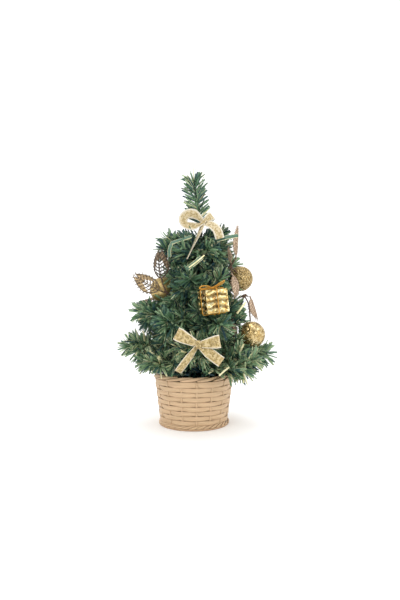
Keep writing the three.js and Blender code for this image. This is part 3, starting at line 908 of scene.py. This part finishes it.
# ---------------------------------------------------------------- picks
PICKS = {  # height of the wire's root, cluster, ball, and the bend in the ball's wire
    "left_pick": (133, (-31, -21, 152), (-37, -4, 156), (-33, -18, 153)),
    "right_pick": (170, (42, -13, 181), (56, 9, 170), (48, -8, 179)),
    "low_pick": (129, (59, -8, 149), (66, -21, 104), (63, -17, 138)),
}
BALL_LOOKS = {  # slot, finish, flakes, their size and how far they tilt
    "left_pick": ("glitter_ball", "satin_gold", 1100, 0.42, 0.12),
    "right_pick": ("glitter_ball", "fine_glitter", 2600, 0.55, 0.42),
    "low_pick": ("mirror_ball", "mirror_flakes", 900, 0.85, 0.14),
}
LEAVES = {  # finish, base, tip, facing, share where whole film starts, half its width, sideways bend
    "left_pick_upper": ("dark_leaf", (-36, -24, 163), (-39, -25, 206), (-0.35, -1, 0.1), 0.7, 9.5, 1.5),
    "left_pick_middle": ("light_leaf", (-35, -26, 152), (-71, -29, 173), (-0.1, -1, 0.3), 0.6, 9.5, 1.0),
    "left_pick_lower": ("light_leaf", (-40, 14, 148), (-74, 17, 137), (-0.1, -0.7, 1), 0.4, 8.5, 1.0),
    "right_pick_upper": ("pink_leaf", (47, -20, 190), (49, -24, 230), (0.75, -0.7, 0.1), 0.1, 4.4, 3.5),
    "right_pick_small": ("pink_leaf", (43, -21, 186), (40, -24, 202), (-1, -0.5, 0), 0.1, 4.5, -2.0),
    "right_pick_lower": ("pink_leaf", (44, -20, 174), (48, -24, 146), (0.75, -1, 0), 0.1, 5.5, 3.0),
    "low_pick_outer": ("pink_leaf", (65, -6, 148), (73, -8, 121), (1, -0.9, 0.2), 0.1, 6.0, -3.0),
    "low_pick_inner": ("dark_leaf", (43, -30, 120), (46, -33, 96), (1, -0.5, 0), 0.2, 5.0, 2.0),
}
WIRE_BENDS = {"left_pick_lower": (-31, -9, 131)}  # where a leaf's wire bends, if that is not halfway
LEAF_LENGTH = 38
LEAF_HALF = 9.5
LONG_LEAF = 25  # a shorter leaf has fewer ribs
BALL_RADIUS = 15


def build_leaf(leaf, finish, base, tip, facing, film_from, half, bend):
    """A skeleton leaf: midrib, toothed ribs, a rim, lace between the ribs, and film where it is whole."""
    base, tip, facing = (np.array(v, float) for v in (base, tip, facing))
    along = unit(tip - base)
    side = unit(np.cross(facing, along))
    face = np.cross(along, side)
    length = min(LEAF_LENGTH, np.linalg.norm(tip - base))

    def out(x, y, lift=0.0):
        """From the flat leaf to its arched, cupped and curved place."""
        x, y, lift = np.broadcast_arrays(*(np.asarray(v, float) for v in (x, y, lift)))
        arch = 4 * (x / length) * (1 - x / length)
        rise = lift + (1 + 0.6 * abs(bend)) * arch - (0.02 + 0.025 * abs(bend)) * y**2
        across = y + bend * (arch - 0.5)
        return base + x[..., None] * along + across[..., None] * side + rise[..., None] * face

    def rib(x, y, thick, thin, sides=5):
        shape.strand(out(x, y), np.linspace(thick, thin, len(x)), face, sides, shade=rng.random(), edge=1.0)

    def where(t):
        return length * (0.12 + 0.88 * t)

    def reach(t):
        return 0.9 + (half - 0.9) * np.sin(math.pi * np.clip(t, 0, 1) ** 0.85) ** 0.9

    def rib_line(start, q):
        end = start + 0.13 + 0.05 * math.sin(math.pi * start)
        return where(start + (end - start) * q**1.3), reach(end) * q

    shape = Shape()
    bold = 0.45 + 0.55 * half / LEAF_HALF
    rib(np.linspace(0, length + 3, 16), np.sin(np.linspace(0, 3, 16)) * 0.4, 0.95, 0.2, 7)
    starts = np.linspace(0.02, 0.80, 8 if length > LONG_LEAF else 5)
    q = np.linspace(0, 1, 8)
    tooth = np.linspace(0, 1, 4)
    v = np.linspace(0.05, 0.95, 6)
    v, skin = np.concatenate([v, v[::-1]]), np.repeat([-0.12, 0.12], 6)
    for way in (-1, 1):
        for start in starts:
            x, y = rib_line(start, q)
            rib(x, way * y, 0.74 * bold, 0.46 * bold)
            rib(x[-1] + 2.8 * tooth**1.5, way * (y[-1] + 2.8 * bold * tooth), 0.55 * bold, 0.1, 4)
        t = np.linspace(0.03, 1, 40)
        scallop = 1 - 0.07 * abs(np.sin(math.pi * (t - 0.1) / 0.118))
        rib(where(t), way * reach(t) * scallop, 0.74 * bold, 0.46 * bold)
        for start, after in zip(starts, starts[1:]):
            open_part = np.clip((film_from - start) * 1.6 + rng.uniform(-0.1, 0.15), 0.03, 0.85)
            across = np.linspace(open_part, 0.98, 8)[:, None]
            (x0, y0), (x1, y1) = rib_line(start, across), rib_line(after, across)
            pucker = 0.35 * np.sin(math.pi * v) * np.sin(5 * across + start * 40)
            shape.tubes(out(x0 + (x1 - x0) * v, way * (y0 + (y1 - y0) * v), skin + pucker), shade=0.5)
            for place in np.arange(0.2, open_part, 0.32):
                ends = [rib_line(start, place), rib_line(after, place + rng.uniform(-0.1, 0.1))]
                (x0, x1), (y0, y1) = zip(*ends)
                rib(np.linspace(x0, x1, 3), way * np.linspace(y0, y1, 3), 0.3, 0.24, 4)
    shape.make(f"{leaf}_leaf_skeleton", [finish], "skeleton_leaf", [f"{leaf}_leaf"])


def build_ball(pick, centre, finishes):
    """A ball with flakes of glitter stuck all over it."""
    slot, finish, flakes, size, tilt = BALL_LOOKS[pick]
    work = bmesh.new()
    bmesh.ops.create_icosphere(work, subdivisions=5, radius=BALL_RADIUS - 0.25)
    points, faces = taken_from(work)
    shape = Shape()
    points += unit(points) * ripple(points, 2.2)[:, None] * 0.06
    shape.skin(points + centre, faces)
    k = np.arange(flakes)
    height = 1 - 2 * (k + 0.5) / flakes
    turn = k * math.pi * (3 - math.sqrt(5))
    away = circle(np.sqrt(1 - height**2), height, turn)
    away = unit(away + rng.normal(0, 0.35 / math.sqrt(flakes), away.shape))
    facing = unit(away + rng.normal(0, tilt, away.shape))
    middle = centre + away * (BALL_RADIUS - 0.2)
    path = np.stack([middle, middle + 0.16 * facing], 1)
    radius = rng.uniform(0.7, 1.1, flakes)[:, None, None, None] * size
    section = np.broadcast_to(round_section(1, 6), (flakes, 2, 6, 2)) * radius
    across = unit(np.cross(facing, rng.normal(size=away.shape)))
    shape.tubes(sweep(path, section, across[:, None]), slot=1, soft=False)
    shape.make(f"{pick}_bauble", [finishes[finish]] * 2, slot, [f"{pick}_ball"])


def build_picks():
    brown = wire_finish("brown_wire", (0.045, 0.022, 0.012), (0.15, 0.085, 0.045))
    golds = (0.16, 0.10, 0.035), (0.50, 0.36, 0.15), (0.92, 0.80, 0.52)
    satin_golds = (0.36, 0.25, 0.07), golds[1], (0.8, 0.66, 0.32)
    finishes = (
        leaf_finish("dark_leaf", (0.034, 0.025, 0.018), (0.20, 0.135, 0.08), (0.42, 0.32, 0.21)),
        leaf_finish("light_leaf", (0.07, 0.045, 0.026), (0.48, 0.34, 0.18), (0.72, 0.58, 0.38)),
        leaf_finish("pink_leaf", (0.26, 0.17, 0.11), (0.56, 0.42, 0.29), (0.92, 0.77, 0.62)),
        glitter_finish("fine_glitter", *golds, 0.9, 0.22, 0.5),
        glitter_finish("mirror_flakes", *golds, 2.3, 0.16, 0.16),
        glitter_finish("satin_gold", *satin_golds, 0.4, 0.36, 0.12),
    )
    finishes = {finish.name: finish for finish in finishes}
    for pick, parts in PICKS.items():
        root = parts[0]
        cluster, ball, bend = (np.array(point, float) for point in parts[1:])
        start = unit(cluster * (1, 1, 0)) * 3.8 + (trunk_lean(root), 0, root)
        wire = Shape()
        wire.twisted(smooth([start, (start + cluster) / 2 - 2 * UP, cluster], 24), 0.42, 3.6)
        ball_end = ball + unit(bend - ball) * (BALL_RADIUS + 0.3)
        wire.twisted(smooth([cluster, bend, ball_end], 14), 0.5, 4.0)
        build_ball(pick, ball, finishes)
        for leaf, (finish, base, *look) in LEAVES.items():
            if leaf.startswith(pick):
                bend = np.array(WIRE_BENDS.get(leaf, (cluster + base) / 2))
                wire.twisted(smooth([cluster, bend, base - 0.9 * unit(base - bend)], 14), 0.5, 4.0)
                build_leaf(leaf, finishes[finish], base, *look)
        length = np.linspace(-4, 3, 12)
        binding = cluster + length[:, None] * unit(cluster - start)
        fat = 1.1 + 0.5 * np.sin(math.pi * (length + 4) / 7) + 0.12 * np.sin(length * 4)
        wire.strand(binding, fat, FRONT, 10)
        wire.make(f"{pick}_twigs", [brown], "pick_wire", [f"{pick}_wire"])


# ---------------------------------------------------------------- gift
GIFT_CENTRE = np.array([21.0, -60.0, 141.0])
GIFT_YAW = math.radians(20)
GIFT_ROLL = math.radians(-7)
GIFT_HALF = 12.5
GIFT_ROUNDING = 1.6  # radius of its edges
THREAD_GAP = 0.75  # from the gift's face to the middle of the thread
THREAD_BOW = (  # the left loop and the right, from the knot
    ((0, 0, 0), (-5, -0.6, 2.6), (-11, -0.4, 2.9), (-13.6, 0, 1.2), (-11, 0.5, 0.2), (-5, 0.6, 0.6)),
    ((0, 0, 0), (5, -0.6, 2.0), (11, -0.4, 4.8), (15.3, 0, 6.4), (13.5, 0.5, 4.0), (6, 0.6, 1.0)),
)


def gift_place(points):
    """From the gift's own upright axes to its tilted place on the tree."""
    cos_r, sin_r, cos_y, sin_y = (f(a) for a in (GIFT_ROLL, GIFT_YAW) for f in (math.cos, math.sin))
    roll = np.array([[cos_r, 0, sin_r], [0, 1, 0], [-sin_r, 0, cos_r]])
    yaw = np.array([[cos_y, -sin_y, 0], [sin_y, cos_y, 0], [0, 0, 1]])
    return np.asarray(points, float) @ (yaw @ roll).T + GIFT_CENTRE


def build_foil():
    """A block wrapped in foil that is folded and pinched on every face."""
    work = bmesh.new()
    bmesh.ops.create_cube(work, size=2 * GIFT_HALF)
    bmesh.ops.subdivide_edges(work, edges=work.edges, cuts=47, use_grid_fill=True)
    points, faces = taken_from(work)
    share = points / GIFT_HALF
    core = np.clip(points, GIFT_ROUNDING - GIFT_HALF, GIFT_HALF - GIFT_ROUNDING)
    offset = points - core
    reach = np.linalg.norm(offset, axis=1, keepdims=True)
    rounded = core + offset / np.maximum(reach, 1e-9) * GIFT_ROUNDING
    painted_crease_shade = np.zeros(len(points))
    for axis, level in enumerate((2, 2, 1)):
        other = 3 - axis - level
        on_face = (abs(share[:, axis]) > 0.999).astype(float)
        inside = np.clip((1 - np.maximum(abs(share[:, level]), abs(share[:, other]))) / 0.16, 0, 1)
        warp = 0.07 * np.sin(3.1 * share[:, other] + 2 * share[:, axis]) + 0.05 * ripple(share, 0.3)
        folds = 1 - abs(np.sin(TURN * (share[:, level] + warp))) ** 1.2
        pinch = np.exp(-((share[:, other] / 0.16) ** 2))
        fine = 0.5 + 0.5 * ripple(points * np.array([0.5, 0.5, 1.2]), 2.6)
        depth = on_face * inside * (1.7 * folds + 0.8 * pinch + 0.5 * fine)
        rounded[:, axis] -= np.sign(share[:, axis]) * depth
        # How deep each fold is, kept for the foil's painted shade in its creases.
        painted_crease_shade = np.maximum(painted_crease_shade, depth / 2.2)
    shape = Shape()
    shape.skin(gift_place(rounded), faces, edge=painted_crease_shade)
    shape.make("gift_foil", [foil_finish()], "gift_foil", ["gift_box"])


def build_thread():
    """A twisted thread tied round the gift both ways, with a small bow on top and a tie below."""
    strand = Shape()
    gap = GIFT_HALF + THREAD_GAP
    corner = gap - 1.2
    loop = [(corner, gap), (-corner, gap), (-gap, corner), (-gap, -corner)]
    loop += [(-corner, -gap), (corner, -gap), (gap, -corner), (gap, corner), (corner, gap)]
    ring = np.concatenate([np.linspace(a, b, 8)[:-1] for a, b in zip(loop, loop[1:])] + [[loop[-1]]])
    across, up = ring.T
    strand.twisted(gift_place(np.stack([across, 0 * up, up], -1)), 0.28, 2.2)
    strand.twisted(gift_place(np.stack([0 * up, across, up], -1)), 0.32, 2.2)
    top = gap + 0.8
    for loop in THREAD_BOW:
        loop = np.array([*loop, (0, 0, 0.3)]) + (0, 0, top)
        strand.twisted(gift_place(smooth(loop, 40)), 0.38, 2.6)
    for turn in (-0.5, 0.5):
        wrap = np.linspace(-0.2, 0.75, 14) * TURN
        round_the_knot = 0.9 * np.cos(wrap) + turn, 1.3 * np.sin(wrap), top + turn * wrap * 0.2
        strand.strand(gift_place(np.stack(round_the_knot, -1)), 0.42, UP)
    tie = np.linspace([0, 0, -gap], [0, 0, -gap - 1.4], 4)
    strand.twisted(gift_place(tie), 0.4, 2.6)
    orange = mottled("orange_thread", 0.38, (0.42, 0.19, 0.02), (0.78, 0.42, 0.06), 1.2, 4.0, 0.06, 0.35)
    strand.make("gift_thread", [orange.material], "gift_string", ["gift_string"])


# ---------------------------------------------------------------- bows
LOOP_RUN = (  # the side of a pressed loop: share of its reach, and share of its fatness
    (0.02, -0.25), (0.3, -0.8), (0.62, -1), (0.9, -0.75), (1.0, 0),
    (0.9, 0.75), (0.62, 1), (0.3, 0.8), (0.02, 0.25)
)
LOWER_KNOT = np.array([5.5, -79.0, 97.0])
LOWER_TAILS = ((-127, 34, 9.5, 40, 3), (-37, 29, 11, 8, 4))  # slant, length, width, turn and number
TOP_KNOT = np.array([11.0, -16.0, 233.0])
TOP_LOOP = (
    (0, 0.6), (-5, 5.6), (-11, 9.6), (-17.5, 9.8), (-22.5, 6),
    (-23, 0.6), (-19, -3.2), (-12, -4.2), (-5.5, -2.8), (0, -0.6)
)


def slanted(tilt):
    """Two directions across the view, out from a knot and at right angles to that."""
    cos, sin = math.cos(math.radians(tilt)), math.sin(math.radians(tilt))
    return np.array([cos, 0, sin]), np.array([-sin, 0, cos])


def ribbon(shape, path, across, width, number, pleat):
    """Adds a strip whose width lies along across, pleated where it is gathered, and returns its area."""
    width = np.broadcast_to(width, len(path))
    facing = np.cross(unit(np.gradient(path, axis=0)), np.broadcast_to(across, path.shape))
    section, edge = flat_section(width, 0.24, 9)
    section = section.copy()
    gather = (1 - width / np.max(width))[:, None]
    share = section[..., 0] / (np.max(width) / 2)
    section[..., 1] += pleat * gather * np.cos(3 * math.pi * share + number)
    wave = np.sin(np.linspace(0, 7, len(path)) + number)[:, None]
    section[..., 1] += 0.22 * np.sin(2.3 * share + number) * wave
    shape.tubes(sweep(path, section, facing), edge=edge, grain=strip_grain(path, section, number))
    return float((np.diff(run_of(path)) * width[1:]).sum())


def flat_loop(shape, knot, tilt, reach, fatness, width, number):
    """A loop pressed flat, seen on its face: wide at its fold and gathered at the knot."""
    out, across = slanted(tilt)
    path = smooth([knot + out * reach * a - FRONT * fatness * b for a, b in LOOP_RUN], 56)
    away = (path - knot) @ out / reach
    width = width * (0.36 + 0.64 * np.clip(away / 0.8, 0, 1) ** 0.8)
    return ribbon(shape, path, across, width, number, 0.8)


def make_bow(name, shape, finish):
    piece = shape.make(name + "_satin", [finish], "ribbon", [name + "_ribbon"])


def build_knot(name, centre, tilt, tie, finish):
    """A band of ribbon drawn round the bow's middle, and its tie."""
    angle = np.arange(40) * TURN / 40
    forward = np.sign(np.cos(angle)) * abs(np.cos(angle)) ** 0.7 * 3.1
    path = centre + forward[:, None] * FRONT + 4.2 * np.sin(angle)[:, None] * slanted(-tilt)[1]
    section, edge = flat_section(np.full(40, 5.2), 0.4, 7)
    section = section.copy()
    section[..., 1] += 0.35 * np.cos(2.6 * section[..., 0])
    rings = sweep(path, section, unit(path - centre), loop=True)
    shape = Shape()
    shape.tubes(rings, loop=True, edge=edge * 0.8, grain=strip_grain(path, section, 5))
    shape.twisted(np.linspace(centre - 2.6 * FRONT, tie, 8), 0.4, 3.0)
    shape.make(name + "_knot_band", [finish], "ribbon", [name + "_knot"])


def build_lower_bow():
    """Two pressed loops and two tails on the lower front branch."""
    colours = (0.54, 0.43, 0.23), (0.38, 0.26, 0.06), (0.17, 0.11, 0.02), (0.74, 0.69, 0.58)
    gold = ribbon_finish("gold_ribbon", *colours, 0.84, 1.0)
    shape = Shape()
    area = flat_loop(shape, LOWER_KNOT, 153, 25, 2.6, 13.5, 1)
    area += flat_loop(shape, LOWER_KNOT, 9, 22, 2.6, 13, 2)
    t = np.linspace(0, 1, 26)[:, None]
    for tilt, length, width, turn, number in LOWER_TAILS:
        out, side = slanted(tilt)
        path = LOWER_KNOT + out * length * t + FRONT * (1.2 * np.sin(3 * t) - 0.6)
        across = side * math.cos(math.radians(turn)) - FRONT * math.sin(math.radians(turn))
        spread = width * (0.4 + 0.6 * np.clip(t[:, 0] / 0.45, 0, 1) ** 0.8)
        area += ribbon(shape, path, across, spread, number, 0.7)
    make_bow("lower_bow", shape, gold)
    build_knot("lower_bow", LOWER_KNOT, -10, (3.2, -71.5, 94.0), gold)


def build_top_bow():
    """One open loop, one pressed loop and two tails at the crown."""
    colours = (0.57, 0.48, 0.31), (0.42, 0.31, 0.11), (0.25, 0.17, 0.04), (0.66, 0.61, 0.50)
    organza = ribbon_finish("tan_ribbon", *colours, 0.66, 0.9)
    shape = Shape()
    path = smooth([TOP_KNOT + (x, -1.2 - 1.5 * math.sin(-x / 8), z) for x, z in TOP_LOOP], 70)
    middle = TOP_KNOT + (-14.5, 0, 1.4)
    away = unit((path - middle) * (1, 0, 1))
    near = np.clip((TOP_KNOT[0] - path[:, 0]) / 10, 0, 1)
    area = ribbon(shape, path, unit(0.88 * away + 0.47 * FRONT), 11.5 * (0.4 + 0.6 * near), 6, 0.6)
    area += flat_loop(shape, TOP_KNOT, 40, 13.5, 2.4, 11, 7)
    t = np.linspace(0, 1, 34)
    tail = smooth([(0, 0, 0), (4.5, -4, -1.5), (10, -9, -4.6), (15.5, -13, -11), (18.5, -15, -21)], 34)
    across = unit(np.stack([0.75 + 0.2 * t, 0.1 + 0 * t, 0.65 - 0.15 * t], -1))
    width = 10.5 * (0.42 + 0.58 * np.clip(t / 0.35, 0, 1))
    area += ribbon(shape, TOP_KNOT + tail, across, width, 8, 0.6)
    tail = smooth([(0, 0, 0), (-3, -5, -9), (-8, -10, -21), (-13.5, -13.5, -33), (-18.5, -15, -44)], 34)
    turn = np.radians(38 + 34 * t)
    across = unit(np.stack([np.cos(turn), -np.sin(turn), 0.35 * np.cos(turn)], -1))
    width = 9.5 * (0.5 + 0.5 * np.clip(t / 0.2, 0, 1)) * (1 - 0.5 * t**2)
    area += ribbon(shape, TOP_KNOT + tail, across, width, 9, 0.5)
    make_bow("top_bow", shape, organza)
    build_knot("top_bow", TOP_KNOT, 30, (8.0, -3.8, 226.0), organza)


# ---------------------------------------------------------------- the scene
add_camera()
add_studio()
add_floor()

build_basket()
film = needle_finish()
core = wire_finish("core_wire", (0.010, 0.016, 0.010), (0.05, 0.06, 0.04), 0.3)
build_branches(film, core)
build_stubs(film, core)
build_moss(film)
build_trunk()
build_picks()
build_foil()
build_thread()
build_lower_bow()
build_top_bow()
